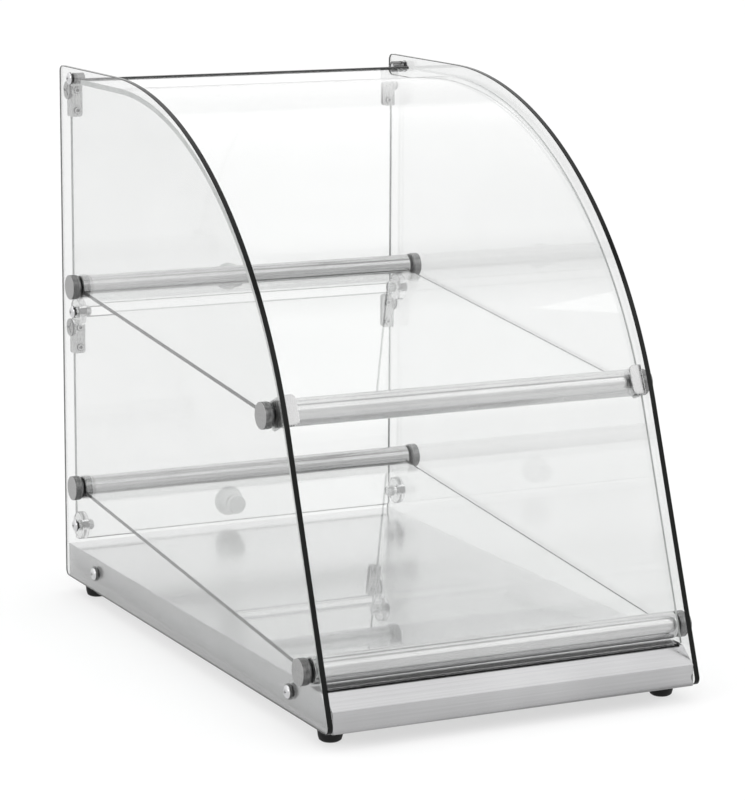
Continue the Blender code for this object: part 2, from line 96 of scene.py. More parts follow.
def up(height):
    """World Z of a height above the underside of the base."""
    return UNDERSIDE + height


def slope_y(z, inset=0.0):
    """World Y of the front slope at a world Z, at this distance inside it."""
    return back((z - UNDERSIDE) / math.tan(FRONT_SLOPE) + inset / math.sin(FRONT_SLOPE))


# ---------------------------------------------------------------- shapes


def arc_at(before, corner, after, radius, steps):
    """Points of the arc that rounds this corner."""
    corner = Vector(corner)
    to_last = Vector(before) - corner
    to_next = Vector(after) - corner
    half = to_last.angle(to_next) / 2
    if radius == 0 or half > math.radians(89.9):
        return [corner]
    reach = radius / math.tan(half)
    centre = corner + (to_last.normalized() + to_next.normalized()).normalized() * radius / math.sin(half)
    start = corner + to_last.normalized() * reach - centre
    sweep = start.angle_signed(corner + to_next.normalized() * reach - centre)
    return [centre + start @ Matrix.Rotation(sweep * i / steps, 2) for i in range(steps + 1)]


def rounded(corners, radii, steps):
    """A closed outline with each corner rounded."""
    outline = []
    for i, corner in enumerate(corners):
        after = corners[(i + 1) % len(corners)]
        count = steps[i] if isinstance(steps, tuple) else steps
        outline += arc_at(corners[i - 1], corner, after, radii[i], count)
    return outline


def eased(points, radius, steps=3):
    """An open line with its inner corners rounded."""
    line = [Vector(points[0])]
    for before, corner, after in zip(points, points[1:], points[2:]):
        line += arc_at(before, corner, after, radius, steps)
    line.append(Vector(points[-1]))
    return line


def circle(centre, radius, steps):
    """A hole's outline, which runs the other way round from a piece's own edge."""
    turn = -2 * math.pi / steps
    return [
        Vector((centre[0] + radius * math.cos(i * turn), centre[1] + radius * math.sin(i * turn)))
        for i in range(steps)
    ]


def area(outline):
    return sum(a[0] * b[1] - b[0] * a[1] for a, b in zip(outline, outline[1:] + outline[:1])) / 2


def finished(mesh, angle=30):
    """Smooth shading that keeps edges sharper than this angle."""
    mesh.shade_smooth()
    mesh.set_sharp_from_angle(angle=math.radians(angle))
    return mesh


def sheet(name, outlines, thickness, chamfer=POLISH, segments=1):
    """A flat plate in its own XY plane with eased edges: its edge first, then its holes."""
    curve = bpy.data.curves.new(name, "CURVE")
    curve.dimensions = "2D"
    curve.fill_mode = "BOTH"
    curve.extrude = thickness / 2 - chamfer
    curve.bevel_depth = chamfer
    curve.bevel_resolution = segments - 1
    curve.offset = -chamfer
    for i, outline in enumerate(outlines):
        outline = list(outline)
        if (area(outline) > 0) == (i > 0):
            outline.reverse()
        spline = curve.splines.new("POLY")
        spline.points.add(len(outline) - 1)
        for point, place in zip(spline.points, outline):
            point.co = (place[0], place[1], 0, 1)
        spline.use_cyclic_u = True
    holder = bpy.data.objects.new(name, curve)
    bpy.context.scene.collection.objects.link(holder)
    bpy.context.view_layer.update()
    graph = bpy.context.evaluated_depsgraph_get()
    mesh = bpy.data.meshes.new_from_object(holder.evaluated_get(graph))
    mesh.name = name
    bpy.data.objects.remove(holder)
    shape = bmesh.new()
    shape.from_mesh(mesh)
    bmesh.ops.remove_doubles(shape, verts=shape.verts, dist=1e-6)
    shape.to_mesh(mesh)
    shape.free()
    return finished(mesh)


def lathe(name, profile, steps, closed=False):
    """A turned piece about its own Z: the profile is (radius, height), from its top down its outer side."""
    shape = bmesh.new()
    turns = [2 * math.pi * i / steps for i in range(steps)]
    rings = []
    for radius, height in profile:
        if radius < 1e-6:
            rings.append([shape.verts.new((0, 0, height))])
        else:
            around = [(radius * math.cos(turn), radius * math.sin(turn), height) for turn in turns]
            rings.append([shape.verts.new(place) for place in around])
    pairs = list(zip(rings, rings[1:]))
    if closed:
        pairs.append((rings[-1], rings[0]))
    for upper, lower in pairs:
        for i in range(steps):
            j = (i + 1) % steps
            corners = [
                upper[i % len(upper)], lower[i % len(lower)], lower[j % len(lower)], upper[j % len(upper)],
            ]
            shape.faces.new(list(dict.fromkeys(corners)))
    mesh = bpy.data.meshes.new(name)
    shape.to_mesh(mesh)
    shape.free()
    return finished(mesh)


def facing_x(mesh, x=0.0):
    """Stands a flat plate in the YZ plane, with its own X to the back and its own Y up."""
    mesh.transform(Matrix(((0, 0, 1, x), (1, 0, 0, 0), (0, 1, 0, 0), (0, 0, 0, 1))))
    return mesh


def facing_y(mesh, y):
    """Stands a flat plate in the XZ plane, with its own Y up."""
    mesh.transform(Matrix(((1, 0, 0, 0), (0, 0, -1, y), (0, 1, 0, 0), (0, 0, 0, 1))))
    return mesh


def joined(name, meshes):
    shape = bmesh.new()
    for mesh in meshes:
        shape.from_mesh(mesh)
    made = bpy.data.meshes.new(name)
    shape.to_mesh(made)
    shape.free()
    return finished(made)


def outward(side):
    """Turns a piece's own +Z to the outside of this side."""
    return (0, side * math.pi / 2, 0)


def piece(name, mesh, materials, body, replaces=(), place=(0, 0, 0), turn=(0, 0, 0)):
    """Links a mesh as a piece of the object, on its body, in place of the parts it replaces."""
    made = bpy.data.objects.new(name, mesh)
    bpy.context.scene.collection.objects.link(made)
    if not mesh.materials:
        for material in materials:
            mesh.materials.append(material)
    made.location = place
    made.rotation_euler = turn
    even = made.modifiers.new("even", "WEIGHTED_NORMAL")
    even.keep_sharp = True
    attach(made, body)
    if replaces:
        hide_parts(*replaces)
    return made


def cut(mesh, cutter, materials=()):
    """The mesh with the cutter's space removed. Of two materials, the second lines the cut."""
    for material in materials:
        cutter.materials.append(material)
        if len(mesh.materials) < len(materials):
            mesh.materials.append(material)
    if materials:
        for face in cutter.polygons:
            face.material_index = 1
    target = bpy.data.objects.new("target", mesh)
    tool = bpy.data.objects.new("tool", cutter)
    for thing in (target, tool):
        bpy.context.scene.collection.objects.link(thing)
    boolean = target.modifiers.new("cut", "BOOLEAN")
    boolean.operation = "DIFFERENCE"
    boolean.solver = "EXACT"
    boolean.object = tool
    bpy.context.view_layer.update()
    graph = bpy.context.evaluated_depsgraph_get()
    result = bpy.data.meshes.new_from_object(target.evaluated_get(graph))
    result.name = mesh.name
    bpy.data.objects.remove(target)
    bpy.data.objects.remove(tool)
    return finished(result)


# ---------------------------------------------------------------- materials


def grey(value):
    return (value, value, value)


def new_material(name, **settings):
    """A Principled material, its plain values on the shader's own sockets."""
    made = bpy.data.materials.new(name)
    made.use_nodes = True
    shader = made.node_tree.nodes["Principled BSDF"]
    for key, value in settings.items():
        shader.inputs[key.replace("_", " ")].default_value = value
    return made, made.node_tree, shader


def node(tree, kind, values=None, **attributes):
    made = tree.nodes.new("ShaderNode" + kind)
    for key, value in attributes.items():
        setattr(made, key, value)
    for key, value in (values or {}).items():
        made.inputs[key].default_value = value
    return made


def noise(tree, stretch, detail=4.0, roughness=0.55, distortion=0.0):
    """Noise in the piece's own space, drawn out by a scale for each axis, per metre."""
    place = node(tree, "TexCoord")
    mapping = node(tree, "Mapping", {"Scale": stretch})
    texture = node(
        tree, "TexNoise", {"Scale": 1.0, "Detail": detail, "Roughness": roughness, "Distortion": distortion}
    )
    tree.links.new(place.outputs["Object"], mapping.inputs["Vector"])
    tree.links.new(mapping.outputs["Vector"], texture.inputs["Vector"])
    return texture.outputs["Fac"]


def spread(tree, source, lowest, highest, start=0.3, end=0.7):
    """The source's middle values spread over this range."""
    limits = {"From Min": start, "From Max": end, "To Min": lowest, "To Max": highest}
    ranged = node(tree, "MapRange", limits)
    tree.links.new(source, ranged.inputs["Value"])
    return ranged.outputs["Result"]


def tones(tree, source, dark, light):
    ramp = node(tree, "ValToRGB")
    ramp.color_ramp.elements[0].position = 0.3
    ramp.color_ramp.elements[1].position = 0.7
    ramp.color_ramp.elements[0].color = (*dark, 1)
    ramp.color_ramp.elements[1].color = (*light, 1)
    tree.links.new(source, ramp.inputs["Fac"])
    return ramp.outputs["Color"]


def bump(tree, shader, source, strength, distance):
    relief = node(tree, "Bump", {"Strength": strength, "Distance": distance})
    tree.links.new(source, relief.inputs["Height"])
    tree.links.new(relief.outputs["Normal"], shader.inputs["Normal"])


def both(tree, first, second):
    """The sum of two noises, halved."""
    added = node(tree, "Math", operation="ADD")
    halved = node(tree, "Math", {1: 0.5}, operation="MULTIPLY")
    tree.links.new(first, added.inputs[0])
    tree.links.new(second, added.inputs[1])
    tree.links.new(added.outputs[0], halved.inputs[0])
    return halved.outputs[0]


def make_glass(name, clear, cloudy, ior=1.5):
    """Clear float glass with faint smears. Lamps shine through it, so what is behind stays lit."""
    made, tree, shader = new_material(name, Transmission_Weight=1.0, IOR=ior)
    smear = noise(tree, (9, 9, 14), 3.0, distortion=0.6)
    tree.links.new(tones(tree, smear, cloudy, clear), shader.inputs["Base Color"])
    tree.links.new(spread(tree, smear, 0.0, 0.02, 0.45, 0.75), shader.inputs["Roughness"])
    see_through = node(tree, "BsdfTransparent", {"Color": (0.96, 0.97, 0.965, 1)})
    path = node(tree, "LightPath")
    either = node(tree, "Math", operation="MAXIMUM")
    choose = node(tree, "MixShader")
    tree.links.new(path.outputs["Is Shadow Ray"], either.inputs[0])
    tree.links.new(path.outputs["Is Diffuse Ray"], either.inputs[1])
    tree.links.new(either.outputs[0], choose.inputs["Fac"])
    tree.links.new(shader.outputs["BSDF"], choose.inputs[1])
    tree.links.new(see_through.outputs["BSDF"], choose.inputs[2])
    output = tree.nodes["Material Output"]
    tree.links.new(choose.outputs["Shader"], output.inputs["Surface"])
    return made


def make_painted_rim(name, dark, light):
    """The ground and polished edge of a sheet of glass, with fine lines from the grinding belt. Its tone,
    given for each kind of edge, is painted: dark tones paint the shade the edge shows, light tones the
    reflection in it.
    """
    made, tree, shader = new_material(name, Specular_IOR_Level=0.15)
    belt = noise(tree, (2600, 60, 60), 3.0)
    tree.links.new(tones(tree, belt, dark, light), shader.inputs["Base Color"])
    tree.links.new(spread(tree, belt, 0.10, 0.24), shader.inputs["Roughness"])
    bump(tree, shader, belt, 0.10, 0.0002)
    return made


def make_steel(name, dark, light, roughness, stretch, relief=0.08, cross=None):
    """Brushed stainless steel: fine lines along the brushing, and slow patches of tone."""
    made, tree, shader = new_material(name, Metallic=1.0)
    lines = noise(tree, stretch, 5.0, 0.6)
    if cross:
        lines = both(tree, lines, noise(tree, cross, 5.0, 0.6))
    patches = noise(tree, (14, 14, 14), 2.0)
    tree.links.new(tones(tree, both(tree, lines, patches), dark, light), shader.inputs["Base Color"])
    tree.links.new(spread(tree, lines, roughness[0], roughness[1]), shader.inputs["Roughness"])
    bump(tree, shader, lines, relief, 0.0002)
    return made


def make_moulded(name, dark, light, roughness, relief=0.05, scale=260, **settings):
    """Moulded plastic or rubber with a fine skin texture."""
    made, tree, shader = new_material(name, **settings)
    skin = noise(tree, (scale, scale, scale), 4.0)
    patches = noise(tree, (30, 30, 30), 2.0)
    tree.links.new(tones(tree, patches, dark, light), shader.inputs["Base Color"])
    tree.links.new(spread(tree, skin, roughness[0], roughness[1]), shader.inputs["Roughness"])
    bump(tree, shader, skin, relief, 0.0003)
    return made


# The side panes, doors and front pane are one 4 mm float glass; their tints differ as painted light and shade:
# the side panes are darkest, painted shade, and the front pane clearest, painted light.
SHADE_TINTED_SIDE_GLASS = make_glass("side_glass", (0.870, 0.874, 0.872), (0.850, 0.855, 0.853))
DOOR_SHEET = make_glass("door_glass", (0.935, 0.939, 0.937), (0.920, 0.925, 0.922))
LIGHT_TINTED_FRONT_GLASS = make_glass("front_glass", (0.965, 0.968, 0.966), (0.950, 0.954, 0.952))
SHELF_SHEET = make_glass("shelf_glass", (0.970, 0.974, 0.972), (0.955, 0.960, 0.958))
# The edges' tones are painted: near-black on the side glass, dark on the pane's rear and foot and on the
# shelves, mid grey on the doors, all painted shade; light grey on the pane's ends, a painted reflection.
SIDE_RIM_SHADE = make_painted_rim("side_rim_shade", grey(0.002), (0.007, 0.008, 0.007))
PANE_RIM_SHADE = make_painted_rim("pane_rim_shade", (0.02, 0.021, 0.020), (0.05, 0.052, 0.051))
PANE_END_REFLECTION = make_painted_rim("pane_end_reflection", (0.36, 0.366, 0.363), (0.48, 0.487, 0.483))
DOOR_RIM_SHADE = make_painted_rim("door_rim_shade", (0.16, 0.165, 0.162), (0.26, 0.265, 0.262))
SHELF_RIM_SHADE = make_painted_rim("shelf_rim_shade", (0.035, 0.037, 0.036), (0.06, 0.062, 0.061))
RAIL_STEEL = make_steel("rail_steel", grey(0.52), grey(0.62), (0.16, 0.25), (5, 900, 900))
# A darker copy of the rail steel, painted shade on the rear rails.
REAR_RAIL_SHADE_STEEL = make_steel("rear_rail_shade_steel", grey(0.42), grey(0.54), (0.12, 0.20), (5, 900, 900))
# Near-black steel, painted shade on the walls and in the sockets and slots of the hinge screws and pivot
# discs.
BLACK_SHADE_STEEL = make_steel("black_shade_steel", grey(0.01), grey(0.025), (0.30, 0.45), (700, 700, 700))
CAP_STEEL = make_steel(
    "cap_steel", grey(0.27), grey(0.35), (0.24, 0.36), (1300, 30, 10), 0.10, (30, 1300, 10)
)
# A darker copy of the cap steel: painted shade on the cap sides, on screw head walls and recesses, and on the
# base screw washers; it also dresses the top spacers.
DARK_AND_SHADED_STEEL = make_steel("dark_and_shaded_steel", grey(0.09), grey(0.25), (0.14, 0.26), (20, 20, 2400), 0.12)
PAN_STEEL = make_steel("pan_steel", (0.41, 0.41, 0.415), (0.50, 0.50, 0.505), (0.14, 0.24), (4, 700, 700))
# A lighter copy of the pan steel, painted light on the deck that faces up.
DECK_LIT_STEEL = make_steel("deck_lit_steel", (0.58, 0.58, 0.585), (0.66, 0.66, 0.665), (0.12, 0.22), (4, 700, 700))
SATIN = make_steel("satin_metal", grey(0.42), grey(0.54), (0.22, 0.34), (500, 500, 40))
CHROME = make_steel("chrome", (0.48, 0.48, 0.49), (0.66, 0.66, 0.67), (0.08, 0.18), (300, 300, 300), 0.03)
DISC_PLASTIC = make_moulded(
    "clear_plastic", grey(0.78), grey(0.86), (0.05, 0.12), Transmission_Weight=1.0, IOR=1.42
)
KNOB_PLASTIC = make_moulded("grey_plastic", grey(0.46), grey(0.54), (0.22, 0.34), Coat_Weight=0.3)
RUBBER = make_moulded(
    "black_rubber", grey(0.004), grey(0.01), (0.5, 0.7), 0.2, 900, Specular_IOR_Level=0.2
)
SEAL = make_moulded("black_washer", grey(0.012), grey(0.03), (0.35, 0.5), 0.1, 600)


# ---------------------------------------------------------------- glass


def paint_edges(mesh, axis):
    """Gives the second material to every face that looks away from the sheet's broad faces."""
    for face in mesh.polygons:
        if abs(face.normal[axis]) < 0.9:
            face.material_index = 1


def make_side_glass():
    top_front = (slope_y(up(CASE_HEIGHT)), up(CASE_HEIGHT))
    corners = [(back(CASE_DEPTH), up(0)), (back(CASE_DEPTH), up(CASE_HEIGHT)), top_front, (back(0), up(0))]
    radii = (CORNER_RADIUS, CORNER_RADIUS, FRONT_RADIUS, CORNER_RADIUS)
    outlines = [rounded(corners, radii, (8, 8, 120, 8))]
    for level in LEVELS:
        for end in ENDS:
            axis = middle(f"rail_cap_{level}_{end}_left")
            outlines.append(circle((axis.y, axis.z), STUD_RADIUS + HOLE_CLEARANCE, 32))
    small = ["spacer_screw_left", "stop_screw_middle_left", "stop_screw_lower_left"]
    small += [f"base_screw_{end}_left" for end in ENDS]
    for name in small:
        axis = middle(name)
        outlines.append(circle((axis.y, axis.z), SCREW_RADIUS + HOLE_CLEARANCE, 28))
    for name, side in SIDES.items():
        mesh = facing_x(sheet(f"side_pane_{name}", outlines, GLASS), side * (GLASS_OUTSIDE - GLASS / 2))
        paint_edges(mesh, 0)
        node_name = f"side_glass_{name}"
        piece(f"side_pane_{name}", mesh, (SHADE_TINTED_SIDE_GLASS, SIDE_RIM_SHADE), "case", (node_name,))


PANE_INSET = 0.0065
PANE_RADIUS = 0.3215


def make_front_pane():
    node_low, node_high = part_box("curved_front_glass")
    foot_z = node_low.z
    foot = Vector((slope_y(foot_z, PANE_INSET + GLASS), foot_z))
    out = Vector((-math.sin(FRONT_SLOPE), math.cos(FRONT_SLOPE)))
    under = node_high.z - GLASS
    corners = [
        (node_high.y, node_high.z), (slope_y(node_high.z, PANE_INSET), node_high.z), foot + GLASS * out,
        foot, (slope_y(under, PANE_INSET + GLASS), under), (node_high.y, under),
    ]
    radii = (POLISH, PANE_RADIUS, POLISH, POLISH, PANE_RADIUS - GLASS, POLISH)
    outline = rounded(corners, radii, (1, 120, 1, 1, 120, 1))
    mesh = facing_x(sheet("bent_front_pane", [outline], node_high.x - node_low.x))
    # The pane's two ends take the painted reflection, and its rear and foot edges the painted shade.
    for face in mesh.polygons:
        at_rear = face.normal.y > 0.6 and face.center.z > under
        at_foot = face.center.z < foot_z + GLASS * out.y + POLISH and abs(face.normal.y) < 0.9
        if abs(face.normal.x) > 0.6:
            face.material_index = 2
        elif at_rear or at_foot:
            face.material_index = 1
    piece(
        "bent_front_pane", mesh, (LIGHT_TINTED_FRONT_GLASS, PANE_RIM_SHADE, PANE_END_REFLECTION), "case",
        ("curved_front_glass",),
    )


def bevelled_box(name, corners_low, corners_high, width, turn=None, segments=2):
    """A block with all its edges eased, between two opposite corners."""
    shape = bmesh.new()
    bmesh.ops.create_cube(shape, size=1)
    size = Vector(corners_high) - Vector(corners_low)
    centre = (Vector(corners_high) + Vector(corners_low)) / 2
    bmesh.ops.scale(shape, verts=shape.verts, vec=size)
    bmesh.ops.bevel(
        shape, geom=list(shape.edges), offset=width, segments=segments, profile=0.5, affect="EDGES"
    )
    if turn:
        bmesh.ops.transform(shape, matrix=turn, verts=shape.verts)
    bmesh.ops.translate(shape, verts=shape.verts, vec=centre)
    mesh = bpy.data.meshes.new(name)
    shape.to_mesh(mesh)
    shape.free()
    return finished(mesh)


STRIP_DEPTH = 0.004
STRIP_HEIGHT = 0.0011


def make_rear_strip():
    """A thin dark bumper on the rear edge of the front pane."""
    node_low, node_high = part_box("curved_front_glass")
    near = (node_low.x, node_high.y - STRIP_DEPTH, node_high.z - HAIR)
    far = (node_high.x, node_high.y, node_high.z + STRIP_HEIGHT)
    mesh = bevelled_box("rear_strip", near, far, 0.0003)
    piece("rear_strip", mesh, (SEAL,), "case")


def make_shelf(level):
    """A shelf on the slope between its two rails."""
    node_low, node_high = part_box(f"{level}_shelf_glass")
    front, rear = middle(f"rail_cap_{level}_front_left"), middle(f"rail_cap_{level}_rear_left")
    slope = math.atan2(rear.z - front.z, rear.y - front.y)
    size = node_high - node_low
    length = (size.y - SHELF_GLASS * math.sin(slope)) / math.cos(slope)
    half = Vector((size.x, length, SHELF_GLASS)) / 2
    turn = Matrix.Rotation(slope, 4, "X")
    mesh = bevelled_box(f"{level}_shelf", -half, half, POLISH, turn, 1)
    mesh.transform(Matrix.Translation((node_low + node_high) / 2))
    normal = Vector((0, -math.sin(slope), math.cos(slope)))
    for face in mesh.polygons:
        if abs(face.normal.dot(normal)) < 0.9:
            face.material_index = 1
    node_name = f"{level}_shelf_glass"
    piece(f"{level}_shelf", mesh, (SHELF_SHEET, SHELF_RIM_SHADE), "case", (node_name,))


DOOR_CORNER = 0.002
KNOB_STUD = 0.0025


def make_door_glass(level):
    node_low, node_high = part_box(f"{level}_door_glass")
    knob = middle(f"door_knob_{level}")
    corners = [
        (node_low.x, node_low.z), (node_high.x, node_low.z),
        (node_high.x, node_high.z), (node_low.x, node_high.z),
    ]
    outlines = [rounded(corners, (DOOR_CORNER,) * 4, 6)]
    outlines.append(circle((knob.x, knob.z), KNOB_STUD + HOLE_CLEARANCE, 28))
    mesh = facing_y(sheet(f"{level}_door_pane", outlines, GLASS), (node_low.y + node_high.y) / 2)
    paint_edges(mesh, 1)
    piece(
        f"{level}_door_pane", mesh, (DOOR_SHEET, DOOR_RIM_SHADE), f"{level}_door",
        (f"{level}_door_glass",),
    )


# ---------------------------------------------------------------- rails and caps

RAIL_BORE = 0.0035
SHELF_DROP = 0.0035
SLOT_FLOOR = 0.0046
CAP_EASE = 0.0005
CAP_SHOULDER = 0.0012
CAP_STEP = 0.0002
WASHER_EASE = 0.0001
WASHER_RADIUS = 0.0086


def rail_outline(radius, slot_side, slope):
    """A round section with an open slot for the shelf, on the shelf's own slope."""
    half_slot = SHELF_GLASS / 2 + GAP
    lips = [math.asin((drop - SHELF_DROP) / radius) for drop in (half_slot, -half_slot)]
    steps = 96
    outline = []
    for step in range(steps + 1):
        angle = lips[0] + (lips[1] + 2 * math.pi - lips[0]) * step / steps
        outline.append(Vector((math.cos(angle), math.sin(angle))) * radius)
    outline.append(Vector((SLOT_FLOOR, -half_slot - SHELF_DROP)))
    outline.append(Vector((SLOT_FLOOR, half_slot - SHELF_DROP)))
    return [Vector((slot_side * p.x, p.y)) @ Matrix.Rotation(-slope, 2) for p in outline]


def make_rails(level):
    front, rear = middle(f"rail_cap_{level}_front_left"), middle(f"rail_cap_{level}_rear_left")
    slope = math.atan2(rear.z - front.z, rear.y - front.y)
    for end, axis, slot_side in (("front", front, 1), ("rear", rear, -1)):
        name = f"rail_{level}_{end}"
        node_low, node_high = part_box(name)
        radius = (node_high.z - node_low.z) / 2
        outlines = [rail_outline(radius, slot_side, slope), circle((0, 0), RAIL_BORE, 24)]
        mesh = facing_x(sheet(f"bar_{level}_{end}", outlines, node_high.x - node_low.x, 0.0002))
        mesh.transform(Matrix.Translation((0, axis.y, axis.z)))
        # The rear rails take the darker copy, as painted shade.
        steel = RAIL_STEEL if end == "front" else REAR_RAIL_SHADE_STEEL
        piece(f"bar_{level}_{end}", mesh, (steel,), "case", (name,))


def ring(name, outer, bore, top, bottom, ease, steps=56):
    corners = [(outer, top), (outer, bottom), (bore, bottom), (bore, top)]
    profile = rounded(corners, (ease, ease, 0, 0), 3)
    if area(profile) > 0:
        profile.reverse()
    return lathe(name, profile, steps, closed=True)


def make_caps():
    node_low, node_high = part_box("rail_cap_upper_front_right")
    radius = (node_high.z - node_low.z) / 2
    inner = GLASS_OUTSIDE + WASHER
    outer = node_high.x
    tip = node_low.x
    groove = inner + CAP_SHOULDER
    profile = [
        (0, outer), (radius, outer), (radius, groove), (radius - CAP_STEP, groove - CAP_STEP),
        (radius - CAP_STEP, inner), (STUD_RADIUS, inner),
    ]
    profile = eased(profile, CAP_EASE, 4) + [Vector((STUD_RADIUS, tip)), Vector((0, tip))]
    cap = lathe("end_cap", profile, 72)
    # The caps' round sides take the darker steel as painted shade; their end faces keep the lighter cap steel.
    for face in cap.polygons:
        if abs(face.normal.z) < 0.3:
            face.material_index = 1
    bore = STUD_RADIUS + GAP
    outside = ring("washer", WASHER_RADIUS, bore, inner - HAIR, GLASS_OUTSIDE + HAIR, WASHER_EASE)
    rail_end = GLASS_INSIDE - WASHER + HAIR
    inside = ring("washer", WASHER_RADIUS, bore, GLASS_INSIDE - HAIR, rail_end, WASHER_EASE)
    for level in LEVELS:
        for end in ENDS:
            for name, side in SIDES.items():
                key = f"{level}_{end}_{name}"
                axis = middle(f"rail_cap_{key}")
                place = (0, axis.y, axis.z)
                turn = outward(side)
                steels = (CAP_STEEL, DARK_AND_SHADED_STEEL)
                piece(
                    f"cap_{key}", cap, steels, "case", (f"rail_cap_{key}",), place, turn
                )
                piece(f"cap_washer_{key}", outside, (SEAL,), "case", (), place, turn)
                if (level, end) != ("upper", "front"):
                    clear = (DISC_PLASTIC,)
                    piece(f"rail_washer_{key}", inside, clear, "case", (), place, turn)


# ---------------------------------------------------------------- clips

CLIP_THICKNESS = 0.0015
CLIP_LIP = 0.002
CLIP_WIDTH = 0.0098
CLIP_UP = 0.0098
CLIP_DOWN = 0.0118
CLIP_BACK = 0.0045
CLIP_CORNER = 0.0035
CLIP_OVERLAP = 0.0002
LEG_INSET = 0.0004
FRONT_RAIL_RADIUS = 0.00975


def make_clips():
    """A rounded lip over the front pane, on a leg that the rail clamps against the side glass."""
    axis = middle("rail_cap_upper_front_left")
    axis = Vector((axis.y, axis.z))
    top = high("curved_front_glass").z
    turn_y = slope_y(top, PANE_INSET) + PANE_RADIUS * math.tan(FRONT_SLOPE / 2)
    centre = Vector((turn_y, top - PANE_RADIUS))
    out = (axis - centre).normalized()
    lean = math.atan2(out.y, -out.x)
    pane_face = FRONT_RAIL_RADIUS + GAP + GLASS + GAP
    outer, inner = GLASS_INSIDE - GAP, GLASS_INSIDE - GAP - CLIP_THICKNESS
    place = Matrix.Translation((0, axis.x, axis.y)) @ Matrix.Rotation(-lean, 4, "X")
    for name, side in SIDES.items():
        inner_edge = outer - CLIP_WIDTH
        face = [(outer, -CLIP_DOWN), (outer, CLIP_UP), (inner_edge, CLIP_UP), (inner_edge, -CLIP_DOWN)]
        outline = rounded([(side * x, z) for x, z in face], (0.0006, 0.0006, CLIP_CORNER, CLIP_CORNER), 8)
        lip = facing_y(sheet(f"clip_lip_{name}", [outline], CLIP_LIP, 0.0005, 2), -pane_face - CLIP_LIP / 2)
        leg_front = -pane_face - CLIP_OVERLAP
        leg_foot, leg_top = -CLIP_DOWN + LEG_INSET, CLIP_UP - LEG_INSET
        leg_face = [
            (leg_front, leg_foot), (CLIP_BACK, leg_foot), (CLIP_BACK, leg_top), (leg_front, leg_top),
        ]
        outlines = [rounded(leg_face, (0, CLIP_CORNER, CLIP_CORNER, 0), 8)]
        outlines.append(circle((0, 0), STUD_RADIUS + HOLE_CLEARANCE, 28))
        leg = sheet(f"clip_leg_{name}", outlines, CLIP_THICKNESS, 0.0002)
        mesh = joined(f"clip_{name}", [lip, facing_x(leg, side * (outer + inner) / 2)])
        mesh.transform(place)
        piece(f"clip_{name}", mesh, (SATIN,), "case", (f"pane_clip_{name}",))


# ---------------------------------------------------------------- base

BASE_FRONT = 0.004
BASE_BACK = 0.4915
BASE_LIP_HEIGHT = 0.0156
DECK_HEIGHT = 0.0265
DECK_FRONT = 0.0188
SHEET = 0.0012
FOLD = 0.0008
FOOT_STUD = 0.002
DRILL_TOP = 0.03


def make_base():
    """A folded pan with soft bends, open below."""
    node_low, node_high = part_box("base_pan")
    below = up(-2 * FOLD)
    corners = [
        (back(BASE_FRONT), below), (back(BASE_FRONT), up(BASE_LIP_HEIGHT)),
        (back(DECK_FRONT), up(DECK_HEIGHT)), (back(BASE_BACK), up(DECK_HEIGHT)), (back(BASE_BACK), below),
    ]
    outline = rounded(corners, (0, FOLD, FOLD, FOLD, 0), 4)
    mesh = facing_x(sheet("folded_base", [outline], node_high.x - node_low.x, FOLD, 4))
    shape = bmesh.new()
    shape.from_mesh(mesh)
    everything = [*shape.verts, *shape.edges, *shape.faces]
    bmesh.ops.bisect_plane(
        shape, geom=everything, plane_co=(0, 0, UNDERSIDE), plane_no=(0, 0, 1), clear_inner=True
    )
    shape.to_mesh(mesh)
    shape.free()
    # Faces that look straight up take the lighter copy: painted light on the deck.
    for face in mesh.polygons:
        if face.normal.z > 0.95:
            face.material_index = 1
    steels = (PAN_STEEL, DECK_LIT_STEEL)
    base = piece("folded_base", finished(mesh), steels, "case", ("base_pan",))
    shell = base.modifiers.new("sheet", "SOLIDIFY")
    shell.thickness = SHEET
    shell.offset = -1
    shell.use_even_offset = True


def make_base_angles():
    """The folded angles inside the pan that carry the feet."""
    for name, side in SIDES.items():
        node_low, node_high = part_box(f"base_angle_{name}")
        outer, inner = (node_high.x, node_low.x) if side > 0 else (node_low.x, node_high.x)
        web = outer - side * SHEET
        section = [
            (outer, node_low.z), (outer, node_high.z), (web, node_high.z),
            (web, node_low.z + SHEET), (inner, node_low.z + SHEET), (inner, node_low.z),
        ]
        outline = rounded(section, (FOLD, POLISH, POLISH, 0, POLISH, POLISH), 4)
        mesh = sheet(f"folded_angle_{name}", [outline], node_high.y - node_low.y, 0.0002)
        mesh = facing_y(mesh, (node_low.y + node_high.y) / 2)
        bore = FOOT_STUD + GAP
        for end in ENDS:
            foot = middle(f"foot_{end}_{name}")
            drill = lathe("drill", [(0, DRILL_TOP), (bore, DRILL_TOP), (bore, 0), (0, 0)], 24)
            drill.transform(Matrix.Translation((foot.x, foot.y, 0)))
            mesh = cut(mesh, drill)
        piece(f"folded_angle_{name}", mesh, (PAN_STEEL,), "case", (f"base_angle_{name}",))


def make_feet():
    node_low, node_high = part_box("foot_front_left")
    radius = (node_high.x - node_low.x) / 2
    height = UNDERSIDE
    profile = [
        (0, node_high.z), (FOOT_STUD, node_high.z), (FOOT_STUD, height - GAP), (radius, height - GAP),
        (radius, 0.62 * height), (0.955 * radius, 0.34 * height), (0.87 * radius, 0.10 * height),
        (0.66 * radius, 0), (0, 0),
    ]
    foot = lathe("rubber_foot", eased(profile, 0.0012, 4), 56)
    for end in ENDS:
        for name in SIDES:
            key = f"foot_{end}_{name}"
            centre = middle(key)
            place = (centre.x, centre.y, 0)
            piece(f"rubber_{key}", foot, (RUBBER,), "case", (key,), place)


# ---------------------------------------------------------------- screws, stops and nuts

